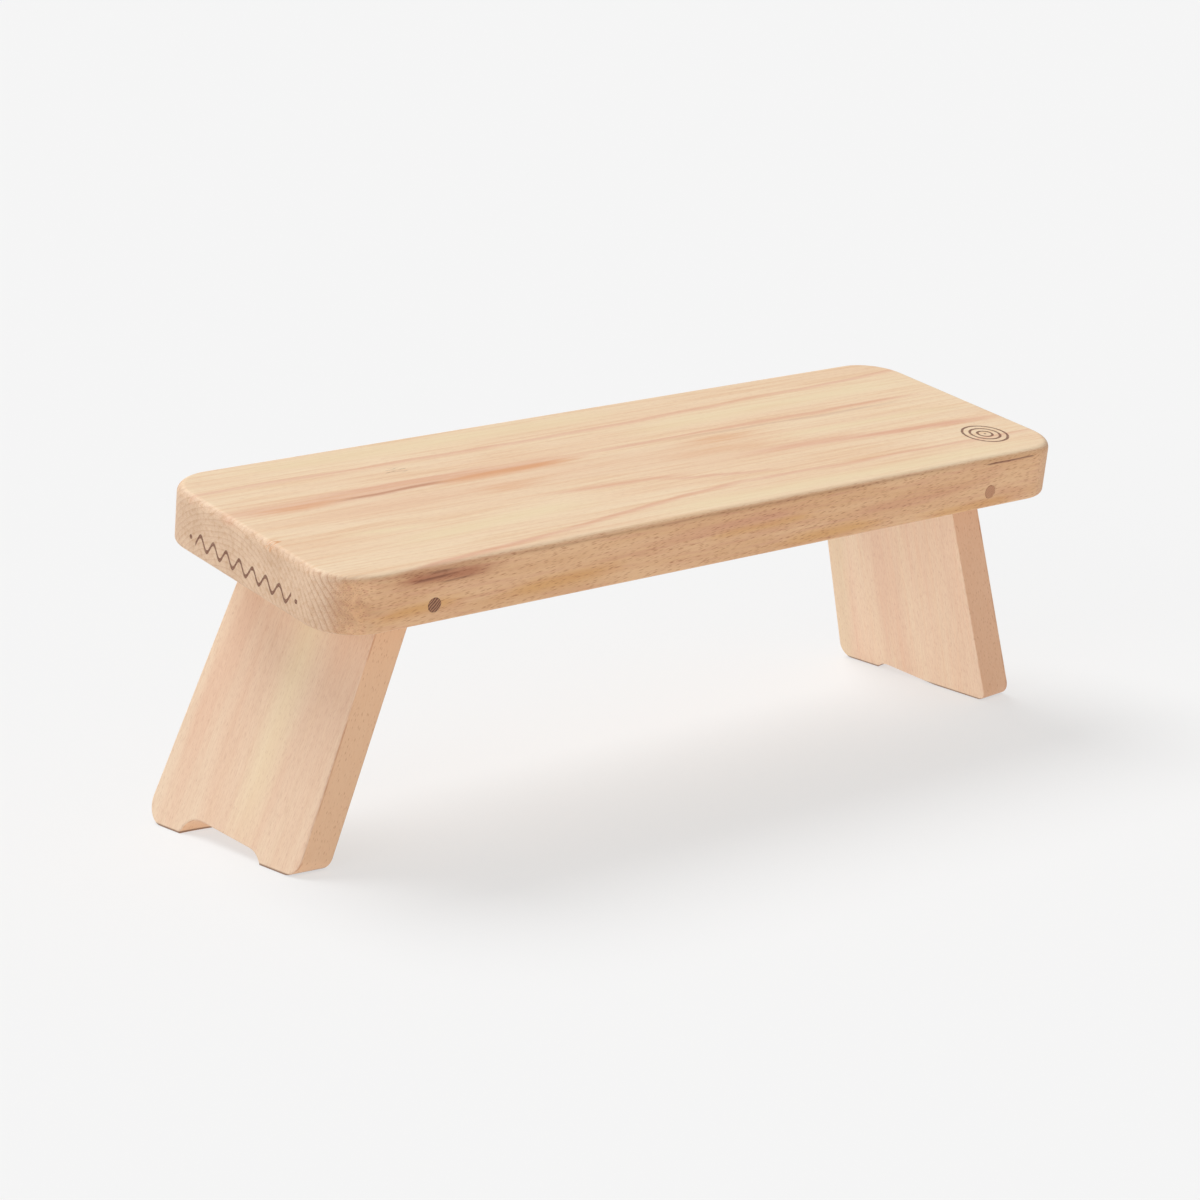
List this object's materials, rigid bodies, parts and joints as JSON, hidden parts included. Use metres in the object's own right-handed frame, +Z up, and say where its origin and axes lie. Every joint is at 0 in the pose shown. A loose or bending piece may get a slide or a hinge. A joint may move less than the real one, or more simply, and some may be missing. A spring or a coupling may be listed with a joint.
{
  "type": "folding kneeling bench",
  "caption": "Low wooden kneeling bench: a forward-sloping board seat with rounded corners on two splayed board legs with arched feet that fold flat into the underside.",
  "frame": {"origin": "on the floor under the middle of the whole bench, front to back and side to side, with the legs open", "axes": "+X along the seat, +Y to the back (the higher long edge of the seat), +Z up"},
  "size_m": [0.4762, 0.16, 0.1701],
  "materials": {
    "seat_wood": "bare sanded beech, matt",
    "leg_wood": "bare sanded beech, matt",
    "plug_wood": "dark hardwood end grain, sanded flush",
    "pin_steel": "plain steel rod",
    "bush_nylon": "natural nylon"
  },
  "bodies": {
    "seat": {"seat": "seat_wood", "left_front_pin": "pin_steel", "left_back_pin": "pin_steel", "right_front_pin": "pin_steel", "right_back_pin": "pin_steel", "left_front_plug": "plug_wood", "left_back_plug": "plug_wood", "right_front_plug": "plug_wood", "right_back_plug": "plug_wood"},
    "left_leg": {"left_leg": "leg_wood", "left_front_bush": "bush_nylon", "left_back_bush": "bush_nylon"},
    "right_leg": {"right_leg": "leg_wood", "right_front_bush": "bush_nylon", "right_back_bush": "bush_nylon"}
  },
  "joints": [
    {"name": "left_leg_fold", "type": "hinge", "parent": "seat", "child": "left_leg", "pos_m": [-0.176, -0.0035, 0.13963], "axis": [0, -0.9863, -0.165], "range_deg": [0, 109.3]},
    {"name": "right_leg_fold", "type": "hinge", "parent": "seat", "child": "right_leg", "pos_m": [0.176, -0.0035, 0.13963], "axis": [0, 0.9863, 0.165], "range_deg": [0, 109.3]}
  ]
}
